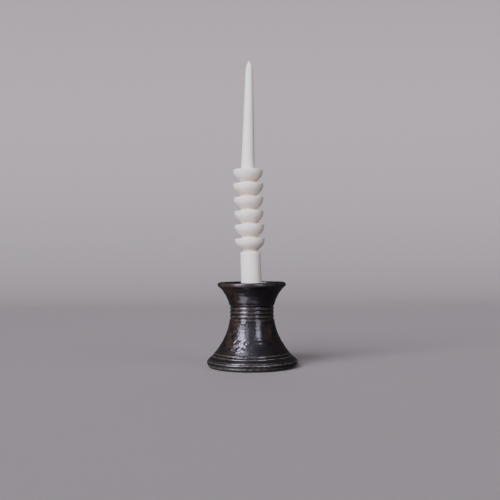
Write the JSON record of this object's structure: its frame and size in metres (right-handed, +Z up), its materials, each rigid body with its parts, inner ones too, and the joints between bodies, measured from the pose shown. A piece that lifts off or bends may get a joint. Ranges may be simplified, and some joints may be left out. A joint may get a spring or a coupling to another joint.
{
  "type": "taper candle in a candlestick",
  "caption": "Slim taper candle with a stack of round bowls on its stem, standing in a thrown stoneware candlestick with a flared dish, ridged waist and wide hollow foot.",
  "frame": {"origin": "centre of the underside of the foot, on the surface that the candlestick stands on", "axes": "+Z up along the candlestick; the candle leans a little towards -X; -Y faces the viewer"},
  "size_m": [0.0946, 0.0946, 0.3212],
  "materials": {
    "dark_glaze": "glossy brown-black glaze with fine pits, breaking lighter over ridges and edges",
    "white_wax": "smooth cast wax with a soft satin sheen, slightly translucent",
    "waxed_cotton": "square braided cotton soaked in wax"
  },
  "bodies": {
    "candlestick": {"holder_body": "dark_glaze"},
    "candle": {"candle_wax": "white_wax", "wick": "waxed_cotton"}
  },
  "joints": [
    {"name": "candle_lift", "type": "slide", "parent": "candlestick", "child": "candle", "axis": [-0.0279, 0, 0.9996], "range_m": [0, 0.045]}
  ]
}
